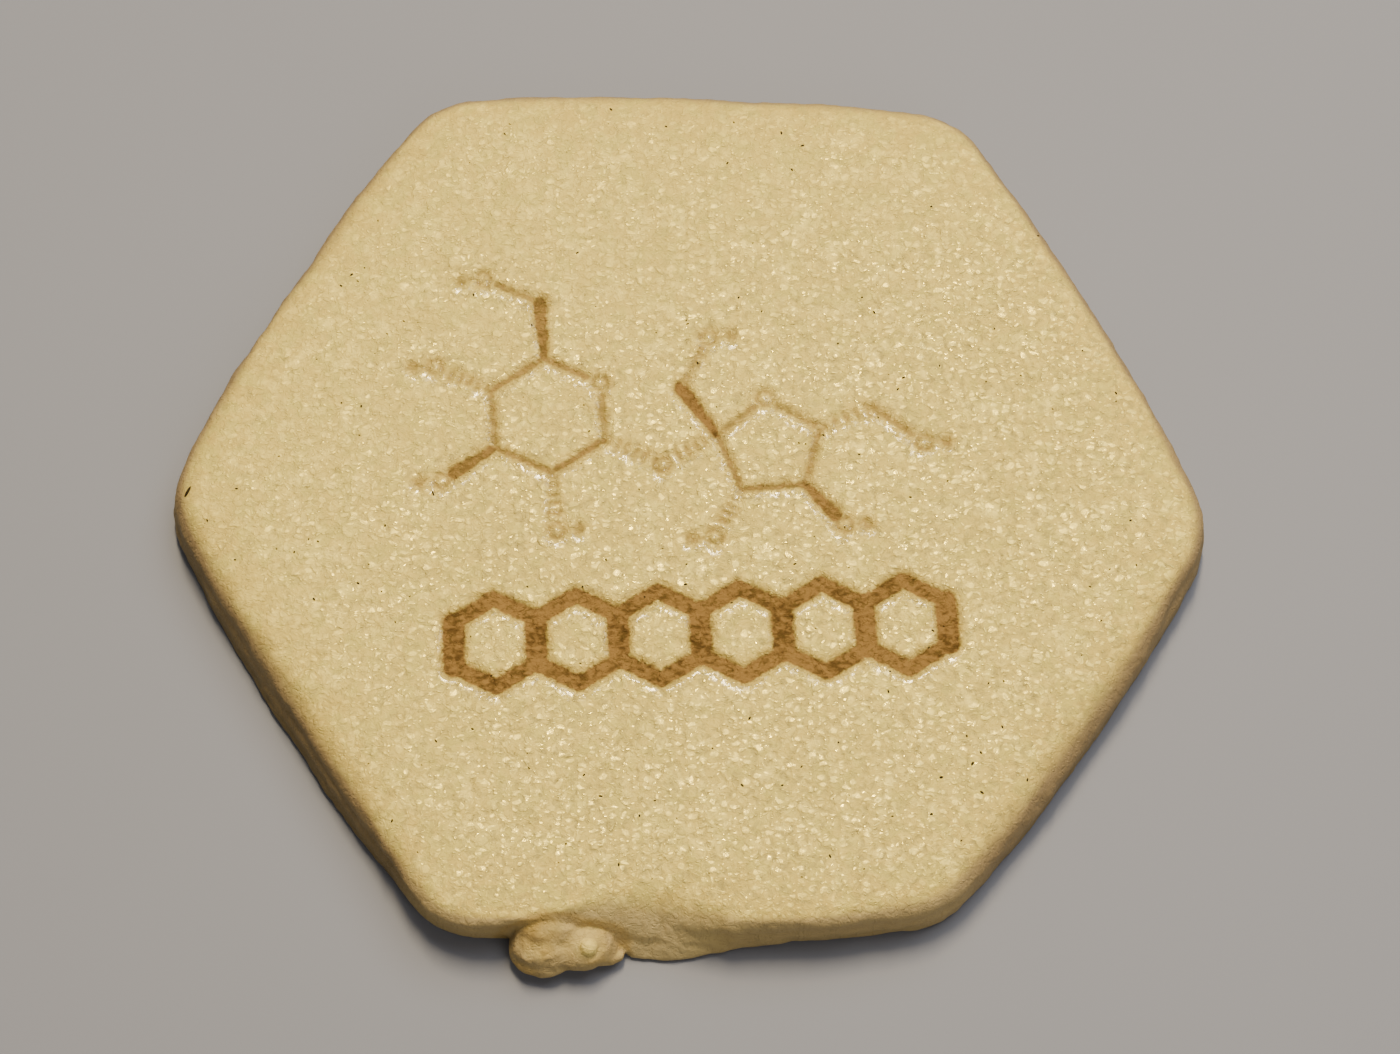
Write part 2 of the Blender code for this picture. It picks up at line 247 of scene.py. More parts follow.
class ColourSettings(bpy.types.PropertyGroup):
    """Colours of the dough and its marks."""

    pale: colour_property("Pale Dough", "Most of the top", (0.6, 0.462, 0.116))
    straw: colour_property("Straw Dough", "The top's greener patches", (0.53, 0.446, 0.11))
    tan: colour_property("Tan Dough", "The baked rim", (0.54, 0.4, 0.1))
    # The wall's baked brown, darkened further by painted shade
    wall: colour_property("Wall", "The drier side wall and underside", (0.25, 0.177, 0.098))
    # Also painted onto the crumb specks and the greasy stroke edges as painted highlights
    cream: colour_property("Cream Blisters", "The whitish patches", (1.0, 0.81, 0.22))
    # Also laid on the front wall as painted light
    torn: colour_property("Torn Dough", "The torn face and the scrap", (0.5, 0.385, 0.185))
    # Painted shade: the darker colour of the small hollows and pores between crumbs
    hollow_shade: colour_property("Hollows", "Small hollows between crumbs", (0.33, 0.262, 0.095))
    golden: colour_property("Golden Dough", "Round strokes and on the scrap", (0.34, 0.215, 0.056))
    scorch_light: colour_property("Light Scorch", "Lightest scorched colour", (0.2, 0.105, 0.036))
    scorch_dark: colour_property("Dark Scorch", "Darkest scorched colour", (0.052, 0.019, 0.009))
    crack: colour_property("Crack", "Fine cracks in the strokes", (0.04, 0.018, 0.006))
    fleck: colour_property("Fleck", "The dark flecks", (0.014, 0.01, 0.004))


class FleckSettings(bpy.types.PropertyGroup):
    """Numbers and sizes of the dark flecks."""

    count: IntProperty(
        name="Count", description="Number of flecks strewn at random", default=150, min=0, max=1000
    )
    seed: IntProperty(name="Seed", description="Start of the random draw", default=11)


class StageSettings(bpy.types.PropertyGroup):
    """Floor and lights."""

    floor_colour: colour_property("Floor", "Colour of the floor", (0.17, 0.182, 0.2235))
    key_power: FloatProperty(
        name="Key Power", description="Power of the key light", default=8.3, unit="POWER"
    )
    glint_power: FloatProperty(
        name="Glint Power", description="Power of the light behind", default=9.9, unit="POWER"
    )
    fill_power: FloatProperty(
        name="Fill Power", description="Power of the low light in front", default=2.0, unit="POWER"
    )
    surround: FloatProperty(
        name="Surround", description="Brightness of the room", default=0.165, min=0.0, max=3.0
    )


def bump(value, middle, spread):
    """A smooth hill of height 1 at middle, which fades over spread."""
    return math.exp(-(((value - middle) / spread) ** 2))


def smooth_step(low, high, value):
    """Rises smoothly from 0 at low to 1 at high; falls where low is above high."""
    share = min(max((value - low) / (high - low), 0.0), 1.0)
    return share * share * (3 - 2 * share)


def turn_between(degrees, other):
    """The smaller turn from one direction to another, in degrees."""
    return (degrees - other + 180) % 360 - 180


def around(angle, scale, lift=0.0):
    """A place in a noise field that comes back to itself after one turn."""
    return Vector((math.cos(angle) * scale, math.sin(angle) * scale, lift))


class SlabForm:
    """Where the surface of the smooth slab lies, in millimetres."""

    def __init__(self, shape):
        self.shape = shape

    def outline_radius(self, angle):
        """Distance from the centre to the outline, in the direction angle."""
        total = 0.0
        for facing, distance in SIDES:
            lean = math.cos(angle - math.radians(facing))
            if lean > 0:
                total += (lean / distance) ** SIDE_POWER
        degrees = math.degrees(angle)
        nose = sum(bump(turn_between(degrees, corner), 0, CORNER_SPREAD) for corner in CORNERS)
        return total ** (-1 / SIDE_POWER) + CORNER_NOSE * nose

    def edge_change(self, angle, places):
        """How far these places move or change the edge at angle."""
        degrees = math.degrees(angle) % 360
        return sum(reach * bump(degrees, middle, spread) for middle, spread, reach in places)

    def crease(self, angle, height):
        """Depth of the crease and of the finer drag lines at this place on the wall."""
        uneven = noise.noise(around(angle, 2.5) + Vector((7, 0, 0)))
        strength = max(0.55 + uneven + self.edge_change(angle, CREASE_CHANGE), 0.0)
        line = CREASE_HEIGHT + 0.5 * noise.noise(around(angle, 2.5) + Vector((0, 9, 0)))
        depth = self.shape.crease_depth * strength * bump(height, line, 0.55)
        fine = noise.noise(around(angle, 3.0, height * 2.6) + Vector((3, 5, 1)))
        return depth + DRAG_DEPTH * max(fine, 0.0)

    def rim_radius(self, angle):
        """Radius of the rounding of the top edge, which the cutter left uneven."""
        uneven = 0.6 * noise.noise(around(angle, 2.2, 5.0))
        return self.shape.rim_rounding + uneven + self.edge_change(angle, RIM_ROUNDING_CHANGE)

    def wall_radius(self, angle, inset, height):
        """Radius of the wall at a height, with its own inset for the rounded edges."""
        share = height / THICKNESS
        rim = self.edge_change(angle, RIM_SET_BACK) * share
        foot = self.edge_change(angle, FOOT_SPREAD) * (1 - share)
        place = around(angle, WALL_WAVES_AROUND, height * WALL_WAVE_PER_HEIGHT)
        wave = WALL_WAVE * noise.noise(place)
        return self.outline_radius(angle) - inset - rim + foot + wave - self.crease(angle, height)

    def top_height(self, x, y, inside):
        """Height of the top, where inside is the distance from the top's rim."""
        wave = TOP_WAVE * noise.noise(Vector((x, y, 0)) / TOP_WAVE_LENGTH)
        at_rim = math.exp(-inside / RIM_FALL_WIDTH)
        return THICKNESS + wave * (1 - at_rim) - RIM_FALL * at_rim

    def wall_rows(self):
        """For each row of the wall, a function that gives inset and height for an angle."""
        low, brim, quarter = self.shape.foot_rounding, THICKNESS - RIM_FALL, math.pi / 2

        def rounding(turn, angle):
            radius = self.rim_radius(angle)
            return radius * (1 - math.sin(turn)), brim - radius * (1 - math.cos(turn))

        def upright(share, angle):
            high = brim - self.rim_radius(angle)
            return 0.0, high + (low - high) * share

        def foot(turn, angle):
            return low * (1 - math.cos(turn)), low * (1 - math.sin(turn))

        rows = []
        stretches = (rounding, quarter, ROUNDING_STEPS), (upright, 1, WALL_STEPS)
        for stretch, end, steps in (*stretches, (foot, quarter, FOOT_STEPS)):
            rows += [partial(stretch, end * step / steps) for step in range(1, steps + 1)]
        return rows


def square_to_disc(u, v):
    """Share of the radius, and angle, that a point of a square grid gets on the round slab."""
    if abs(u) > abs(v):
        share, angle = u, math.pi / 4 * (v / u)
    elif v:
        share, angle = v, math.pi / 2 - math.pi / 4 * (u / v)
    else:
        return 0.0, 0.0
    return (share, angle) if share >= 0 else (-share, angle + math.pi)


def at(angle, radius, height):
    """A point from its direction, its distance from the centre and its height."""
    return Vector((radius * math.cos(angle), radius * math.sin(angle), height))


def made(result, kind):
    """The new elements of this kind in a bmesh operator's result."""
    return [item for item in result["geom"] if isinstance(item, kind)]


def slab_mesh(form):
    """The smooth slab: a rounded grid on top, extruded wall rows and a coarser grid beneath."""
    bm = bmesh.new()
    bmesh.ops.create_grid(bm, x_segments=TOP_STEPS, y_segments=TOP_STEPS, size=1.0)
    for vert in bm.verts:
        share, angle = square_to_disc(vert.co.x, vert.co.y)
        rim = form.wall_radius(angle, form.rim_radius(angle), THICKNESS)
        radius = share * rim
        flat = at(angle, radius, 0)
        vert.co = at(angle, radius, form.top_height(flat.x, flat.y, rim - radius))
    edges = [edge for edge in bm.edges if edge.is_boundary]
    for row in form.wall_rows():
        result = bmesh.ops.extrude_edge_only(bm, edges=edges)
        edges = made(result, bmesh.types.BMEdge)
        for vert in made(result, bmesh.types.BMVert):
            angle = math.atan2(vert.co.y, vert.co.x)
            inset, height = row(angle)
            vert.co = at(angle, form.wall_radius(angle, inset, height), height)
    steps = UNDERSIDE_STEPS
    under = bmesh.ops.create_grid(bm, x_segments=steps, y_segments=steps, size=1.0)["verts"]
    inset = form.shape.foot_rounding + 0.8
    for vert in under:
        share, angle = square_to_disc(vert.co.x, vert.co.y)
        vert.co = at(angle, share * form.wall_radius(angle, inset, 0.0), 0.0)
    under_rim = {edge for vert in under for edge in vert.link_edges if edge.is_boundary}
    bmesh.ops.bridge_loops(bm, edges=[*edges, *under_rim])
    bmesh.ops.recalc_face_normals(bm, faces=bm.faces)
    return bm


def scrap_tip():
    """Where the pointed right end of the scrap lies."""
    lean = Euler([math.radians(turn) for turn in SCRAP_TIP_TURN]).to_matrix().to_4x4()
    return Matrix.Translation(SCRAP_TIP) @ lean


def scrap_object():
    """The dough scrap: its lumps melted into one mass, with a pointed end and one round bead."""
    bm = bmesh.new()
    for centre, half_sizes in SCRAP_BLOBS:
        matrix = Matrix.Translation(centre) @ Matrix.Diagonal((*half_sizes, 1))
        bmesh.ops.create_icosphere(bm, subdivisions=4, radius=1.0, matrix=matrix)
    bmesh.ops.create_cone(
        bm, cap_ends=True, segments=32, radius1=1.1, radius2=0.3, depth=2.4, matrix=scrap_tip()
    )
    scrap = object_of(bm, "scrap")
    remesh = scrap.modifiers.new("melt", "REMESH")
    remesh.mode = "VOXEL"
    remesh.voxel_size = SCRAP_VOXEL
    soften = scrap.modifiers.new("soften", "SMOOTH")
    soften.factor = 0.5
    soften.iterations = SCRAP_SOFTENING
    apply_modifiers(scrap)
    for vert in scrap.data.vertices:
        place = vert.co
        swell = 0.1 * noise.noise(place / 1.5) + 0.06 * noise.noise(place / 0.75)
        vert.co = place + vert.normal * swell
    return scrap


def object_of(bm, name):
    """A new linked object that holds the bmesh."""
    mesh = bpy.data.meshes.new(name)
    bm.to_mesh(mesh)
    bm.free()
    piece = bpy.data.objects.new(name, mesh)
    bpy.context.scene.collection.objects.link(piece)
    return piece


def apply_modifiers(piece):
    """Makes what the modifiers give the piece's own mesh."""
    bpy.context.view_layer.update()
    graph = bpy.context.evaluated_depsgraph_get()
    mesh = bpy.data.meshes.new_from_object(piece.evaluated_get(graph))
    piece.modifiers.clear()
    piece.data = mesh


def union(target, helper):
    """Joins the helper to target in one closed mesh and removes it."""
    modifier = target.modifiers.new("union", "BOOLEAN")
    modifier.operation = "UNION"
    modifier.solver = "MANIFOLD"
    modifier.object = helper
    apply_modifiers(target)
    bpy.data.objects.remove(helper)


def polar(length, degrees):
    """A step of this length in this direction, as a 2D vector."""
    turn = math.radians(degrees)
    return Vector((length * math.cos(turn), length * math.sin(turn)))


def on_cookie(point, centre, turn):
    """A point of a figure's own frame, turned and moved to its place on the cookie."""
    cos, sin = math.cos(math.radians(turn)), math.sin(math.radians(turn))
    x, y = point.x * cos - point.y * sin, point.x * sin + point.y * cos
    return Vector((centre[0] + x, centre[1] + y))


class Scorch:
    """All scorched strokes, and how far any point of the top is from the nearest one."""

    def __init__(self, settings):
        self.settings = settings
        self.bars = []
        self.rings = []
        self.add_figure()
        self.add_band()

    def bar(self, start, end, widths, tone, place):
        """A straight stroke that widens from start to end."""
        self.bars.append((on_cookie(start, *place), on_cookie(end, *place), widths, tone))

    def ring(self, centre, radius, width, tone, place):
        """A round stroke, or a dot where the radius is 0."""
        self.rings.append((on_cookie(centre, *place), radius, width, tone))

    def add_figure(self):
        """The molecule: plain, wedged and laddered bonds, atom rings and end dots."""
        place = (SIX_RING_CENTRE, FIGURE_TURN)
        thin, broad = self.settings.line_width, self.settings.wedge_width
        six = {turn: polar(BOND, turn) for turn in (90, 150, 210, 270, 330)}
        ring_atom = polar(BOND, 30)
        top_arm = six[90] + polar(BOND, 90)
        bridge = six[330] + polar(BOND, -30)
        joint = bridge + polar(BOND, 25)
        five_radius = BOND / (2 * math.sin(math.pi / 5))
        five_centre = joint - polar(five_radius, 162)
        five = {turn: five_centre + polar(five_radius, turn) for turn in (18, -54, -126)}
        five_atom = five_centre + polar(five_radius, 90)
        left_arm = joint + polar(BOND, 120)
        right_arm = five[18] + polar(SHORT_BOND, 18)
        ends = {
            "top_left": (top_arm + polar(BOND, 150), -1, 0.42),
            "left": (six[150] + polar(BOND, 150), -1, 0.36),
            "lower_left": (six[210] + polar(BOND, 210), -1, 0.42),
            "below": (six[270] + polar(BOND, 270), 1, 0.42),
            "top_right": (left_arm + polar(BOND, 60), 1, 0.4),
            "right": (right_arm + polar(BOND, -42), 1, 0.5),
            "five_right": (five[-54] + polar(SHORT_BOND, -54), 1, 0.46),
            "five_left": (five[-126] + polar(SHORT_BOND, -122), -1, 0.4),
        }
        tip = {key: end[0] for key, end in ends.items()}
        atoms = [ring_atom, bridge, five_atom, *tip.values()]
        round_six = [ring_atom, *six.values(), ring_atom]
        round_five = [joint, five_atom, *five.values(), joint]
        lines = [
            *zip(round_six, round_six[1:], (0.62, 0.62, 0.55, 0.6, 0.68, 0.5)),
            (top_arm, tip["top_left"], 0.5),
            *zip(round_five, round_five[1:], (0.45, 0.45, 0.55, 0.66, 0.62)),
            (left_arm, tip["top_right"], 0.42),
            (right_arm, tip["right"], 0.5),
        ]
        wedges = [
            (six[90], top_arm, 0.8),
            (six[210], tip["lower_left"], 0.8),
            (joint, left_arm, 0.95),
            (five[-54], tip["five_right"], 0.85),
        ]
        ladders = [
            (six[150], tip["left"], 0.42),
            (six[270], tip["below"], 0.45),
            (six[330], bridge, 0.38),
            (joint, bridge, 0.42),
            (five[18], right_arm, 0.4),
            (five[-126], tip["five_left"], 0.4),
        ]
        for start, end, tone in lines:
            self.bar(*self.shortened(start, end, atoms), (thin, thin), tone, place)
        for start, end, tone in wedges:
            self.bar(*self.shortened(start, end, atoms), (1.25 * thin, broad), tone, place)
        for start, end, tone in ladders:
            start, end = self.shortened(start, end, atoms)
            along = (end - start) / RUNGS
            side = Vector((-along.y, along.x)).normalized()
            for rung in range(RUNGS):
                middle = start + along * (rung + 0.5)
                reach = side * (0.15 + 0.07 * rung)
                self.bar(middle - reach, middle + reach, (0.42, 0.42), tone, place)
        for atom in (ring_atom, bridge, five_atom):
            self.ring(atom, ATOM_RADIUS, 0.42, 0.45, place)
        for end, side, tone in ends.values():
            self.ring(end, ATOM_RADIUS, 0.42, tone, place)
            dot = end + Vector((side * END_DOT_REACH, 0))
            self.ring(dot, 0.0, 1.05, tone, place)
            inner = end + Vector((side * ATOM_RADIUS, 0))
            self.bar(inner, dot, (0.3, 0.3), tone * 0.8, place)

    def shortened(self, start, end, atoms):
        """The bond from start to end, stopped short of any atom ring at either end."""
        gap = (end - start).normalized() * ATOM_GAP
        touches = [any((point - atom).length < 0.01 for atom in atoms) for point in (start, end)]
        return start + gap * touches[0], end - gap * touches[1]

    def add_band(self):
        """The honeycomb band: upright walls between the cells and slanted walls round them."""
        place = (BAND_CENTRE, BAND_TURN)
        upright, slant = self.settings.band_upright, self.settings.band_slant
        tall = BAND_PITCH / math.sqrt(3)
        first = -BAND_CELLS / 2 * BAND_PITCH
        for wall in range(BAND_CELLS + 1):
            x = first + wall * BAND_PITCH
            foot, head = Vector((x, -tall / 2)), Vector((x, tall / 2))
            self.bar(foot, head, (upright, upright), 1.0, place)
            for side in (-1, 1) if wall < BAND_CELLS else ():
                peak = Vector((x + BAND_PITCH / 2, side * tall))
                for end_x in (x, x + BAND_PITCH):
                    end = Vector((end_x, side * tall / 2))
                    self.bar(end, peak, (slant, slant), 0.95, place)

    def field(self, points):
        """Signed distance to the nearest stroke's edge and that stroke's tone, for many points."""
        nearest = np.full(len(points), 9.0)
        tones = np.zeros(len(points))

        def keep(distance, tone):
            closer = distance < nearest
            nearest[closer] = distance[closer]
            tones[closer] = tone

        for start, end, widths, tone in self.bars:
            origin, along = np.array(start), np.array(end - start)
            share = np.clip((points - origin) @ along / (along @ along), 0, 1)
            reach = np.linalg.norm(points - origin - share[:, None] * along, axis=1)
            keep(reach - (widths[0] + (widths[1] - widths[0]) * share) / 2, tone)
        for centre, radius, width, tone in self.rings:
            reach = np.linalg.norm(points - np.array(centre), axis=1)
            keep(np.abs(reach - radius) - width / 2, tone)
        return nearest, tones


def flat_points(bm):
    """The vertices' places seen from above, as an array."""
    return np.array([vert.co.xy for vert in bm.verts])


def refine_round_strokes(bm, scorch, reach):
    """Halves the mesh of the top within this reach of the strokes."""
    distance, _ = scorch.field(flat_points(bm))
    bm.verts.index_update()
    near = [distance[vert.index] < reach and vert.co.z > THICKNESS - 0.4 for vert in bm.verts]
    edges = [edge for edge in bm.edges if all(near[vert.index] for vert in edge.verts)]
    bmesh.ops.subdivide_edges(bm, edges=edges, cuts=1, use_grid_fill=True)


def pebbles(place, size):
    """Low domes of different heights in the skin: 0 on the highest tops, 1 between the domes."""
    shifted = place + noise.noise_vector(place / (size * 1.7)) * size * 0.5
    distances, centres = noise.voronoi(shifted / size)
    height = 0.55 + 0.9 * noise.noise(centres[0] * 5.3)
    return 1 - min(max(height, 0.0), 1.0) * smooth_step(0.62, 0.1, distances[0])


def relief_at(place, normal, form, settings):
    """How far the skin lies inside the smooth form at this place."""
    angle = math.atan2(place.y, place.x)
    radius = math.hypot(place.x, place.y)
    inside = form.outline_radius(angle) - radius
    top = smooth_step(0.5, 0.9, normal.z)
    under = smooth_step(-0.5, -0.9, normal.z)
    wall = 1 - top - under
    heart = smooth_step(1.5, 9.0, inside)
    torn = form.edge_change(angle, TORN_FACE) * max(wall, smooth_step(4.0, 2.5, inside))
    scrap = scrap_share(place)
    height = settings.pebble_height
    fine = noise.fractal(place / 1.1, 1.0, 2.0, 2) * 0.5 + 0.5
    domes = 0.5 * pebbles(place, 1.15) + 0.3 * pebbles(place + Vector((31, 7, 0)), 0.8)
    depth = top * height * (0.45 + 0.55 * heart) * (domes + 0.3 * fine)
    lumps = noise.noise(place / 2.3 + Vector((5, 0, 3))) + 0.5 * noise.noise(place / 0.9)
    depth += wall * (LUMP_DEPTH * max(0.6 + lumps, 0.0) + GRIT_DEPTH * fine)
    depth += under * UNDERSIDE_DEPTH * fine
    depth += scrap * SCRAP_PEBBLE_DEPTH * pebbles(place, 0.95)
    crag = noise.fractal(Vector((place.x / 2.6, place.y / 1.5, place.z / 1.1)), 0.8, 2.1, 4)
    crumbs = noise.fractal(place / 0.75, 0.6, 2.1, 2)
    torn *= smooth_step(0.4, 2.2, place.z) * (1 - scrap)
    depth += torn * (CRAG_DEPTH * (crag + 0.4) + TORN_CRUMB_DEPTH * max(crumbs + 0.3, 0.0))
    return depth + SKIN_DEPTH - WALL_PROUD * wall


def scorch_profile(distance, tone, depth):
    """Depth of a stroke at this distance from its edge, with a low lip outside it."""
    share = 0.45 + 0.55 * tone
    sunk = smooth_step(0.32, -0.32, distance) * share
    lip = 0.2 * bump(distance, 0.55, 0.26) * share
    return depth * (sunk - lip)


def smooth_scrap_joint(bm):
    """Softens the crease where the scrap meets the wall."""
    centre = Vector(SEAM_CENTRE)
    sharp = set()
    for edge in bm.edges:
        if (edge.verts[0].co - centre).length > SEAM_REACH or len(edge.link_faces) != 2:
            continue
        if edge.calc_face_angle_signed(0.0) < -math.radians(SEAM_SHARP):
            sharp.update(edge.verts)
    ring = set(sharp)
    for _ in range(2):
        ring |= {other for vert in ring for edge in vert.link_edges for other in edge.verts}
    for _ in range(6):
        bmesh.ops.smooth_vert(
            bm, verts=list(ring), factor=0.5, use_axis_x=True, use_axis_y=True, use_axis_z=True
        )


def scrap_share(place):
    """1 on the dough scrap, falling to 0 on the cookie round it."""
    share = 0.0
    for centre, half_sizes in SCRAP_BLOBS:
        reach = Vector([(p - c) / size for p, c, size in zip(place, centre, half_sizes)]).length
        share = max(share, smooth_step(1.5, 1.0, reach))
    return share


def bead_object(tree):
    """The small round bead, half sunk in the scrap."""
    top, _, _, _ = tree.ray_cast(Vector((*BEAD_PLACE, 2 * THICKNESS)), Vector((0, 0, -1)))
    bm = bmesh.new()
    middle = top + Vector(BEAD_SHIFT)
    bmesh.ops.create_icosphere(
        bm, subdivisions=3, radius=BEAD_RADIUS, matrix=Matrix.Translation(middle)
    )
    return object_of(bm, "bead"), middle


def make_dough(context):
    """The baked cookie in one closed mesh, with what its material reads stored on it."""
    noise.seed_set(PEBBLE_SEED)
    settings = context.scene.cookie_shape
    scorch = Scorch(context.scene.cookie_scorch)
    form = SlabForm(settings)
    cookie = object_of(slab_mesh(form), "baked_cookie")
    union(cookie, scrap_object())
    graph = context.evaluated_depsgraph_get()
    bead, bead_middle = bead_object(BVHTree.FromObject(cookie, graph))

    bm = bmesh.new()
    bm.from_mesh(cookie.data)
    smooth_scrap_joint(bm)
    bm.to_mesh(cookie.data)
    bm.free()
    union(cookie, bead)

    bm = bmesh.new()
    bm.from_mesh(cookie.data)
    refine_round_strokes(bm, scorch, 0.6)
    bm.normal_update()
    flat = flat_points(bm)
    distance, tone = scorch.field(flat)
    beyond, _ = scorch.field(flat + np.array(GREASE_SIDE))
    grease = np.clip(0.6 - 2.5 * beyond, 0, 1) * np.clip(1 + 4 * distance, 0, 1)
    depth = context.scene.cookie_scorch.depth
    bm.verts.index_update()
    stored = {name: [] for name in STORED}
    stored.update(scorch_distance=np.clip(distance, -1.5, 3.0), scorch_tone=tone, grease=grease)
    for vert in bm.verts:
        place = vert.co.copy()
        beaded = smooth_step(1.15, 1.02, (place - bead_middle).length / BEAD_RADIUS)
        sunk = relief_at(place, vert.normal, form, settings) * (1 - beaded)
        vert.co = place - vert.normal * sunk
        if vert.normal.z > 0.5:
            vert.co.z -= scorch_profile(distance[vert.index], tone[vert.index], depth)
        angle = math.atan2(place.y, place.x)
        inside = form.outline_radius(angle) - math.hypot(place.x, place.y)
        stored["rim_distance"].append(inside if vert.normal.z > 0 else 0.0)
        stored["wall_share"].append(smooth_step(0.97, 0.6, vert.normal.z))
        stored["scrap_share"].append(scrap_share(place))
        stored["torn_share"].append(form.edge_change(angle, TORN_FACE))
        stored["bead_share"].append(beaded)
        vert.co.z = max(vert.co.z, 0.0)
    bmesh.ops.triangulate(bm, faces=bm.faces)
    bm.to_mesh(cookie.data)
    bm.free()
    cookie.data.transform(Matrix.Scale(MM, 4))
    for name, values in stored.items():
        layer = cookie.data.attributes.new(name, "FLOAT", "POINT")
        layer.data.foreach_set("value", np.asarray(values, dtype=np.float32))
    cookie.data.shade_smooth()
    return cookie


class NodeKit:
    """Adds nodes to one node tree and links them, so that a material reads as a list of steps."""

    def __init__(self, tree):
        self.tree = tree

    def add(self, kind, inputs=None, **options):
        """A node with these options, its inputs set to values or linked to sockets."""
        node = self.tree.nodes.new(kind)
        for key, value in options.items():
            setattr(node, key, value)
        self.fill(node, inputs or {})
        return node

    def fill(self, node, inputs):
        """Feeds the inputs of a node by their names."""
        for key, value in inputs.items():
            self.feed(node.inputs[key], value)

    def feed(self, socket, value):
        """Links the socket to another, or sets its value."""
        if isinstance(value, bpy.types.NodeSocket):
            self.tree.links.new(value, socket)
        elif socket.type == "RGBA":
            socket.default_value = (*value[:3], 1.0)
        else:
            socket.default_value = value

    def maths(self, operation, *values, clamp=False):
        """One step of arithmetic."""
        node = self.add("ShaderNodeMath", operation=operation, use_clamp=clamp)
        for socket, value in zip(node.inputs, values):
            self.feed(socket, value)
        return node.outputs[0]

    def times(self, first, second, clamp=False):
        """The product of two values."""
        return self.maths("MULTIPLY", first, second, clamp=clamp)

    def scaled(self, value, factor, offset, clamp=False):
        """The value times a factor, plus an offset."""
        return self.maths("MULTIPLY_ADD", value, factor, offset, clamp=clamp)

    def greater(self, first, second):
        """The greater of two values."""
        return self.maths("MAXIMUM", first, second)

    def vector(self, operation, *values):
        """One step of vector arithmetic."""
        node = self.add("ShaderNodeVectorMath", operation=operation)
        for socket, value in zip(node.inputs, values):
            self.feed(socket, value)
        return node.outputs[0]

    def noise(self, vector, wavelength, detail=2.0, distortion=0.0, roughness=0.5):
        """Smooth noise with hills about this far apart."""
        inputs = {"Vector": vector, "Scale": 1 / wavelength, "Detail": detail}
        inputs.update({"Roughness": roughness, "Distortion": distortion})
        return self.add("ShaderNodeTexNoise", inputs).outputs["Fac"]

    def drops(self, vector, spacing, smallest, largest):
        """Scattered round drops of random reach, seen from above: 1 in their middles, 0 outside."""
        inputs = {"Vector": vector, "Scale": 1 / spacing}
        cells = self.add("ShaderNodeTexVoronoi", inputs, voronoi_dimensions="2D")
        chance = self.add("ShaderNodeSeparateColor", {"Color": cells.outputs["Color"]}).outputs[0]
        reach = self.scaled(chance, largest - smallest, smallest)
        left = self.maths("SUBTRACT", reach, cells.outputs["Distance"])
        return self.rise(left, 0.0, 0.22)

    def rise(self, value, low, high):
        """0 below low and 1 above high, smoothly; the other way round where low is above high."""
        ends = (0.0, 1.0) if low < high else (1.0, 0.0)
        inputs = {"Value": value, "From Min": min(low, high), "From Max": max(low, high)}
        inputs.update({"To Min": ends[0], "To Max": ends[1]})
        return self.add("ShaderNodeMapRange", inputs, interpolation_type="SMOOTHSTEP").outputs[0]

    def blend(self, share, first, second):
        """A colour between two others."""
        node = self.add("ShaderNodeMix", data_type="RGBA", clamp_factor=True)
        self.fill(node, {"Factor": share, 6: first, 7: second})
        return node.outputs[2]

    def attribute(self, name):
        """A number stored on the mesh."""
        node = self.add("ShaderNodeAttribute", attribute_name=name, attribute_type="GEOMETRY")
        return node.outputs["Fac"]


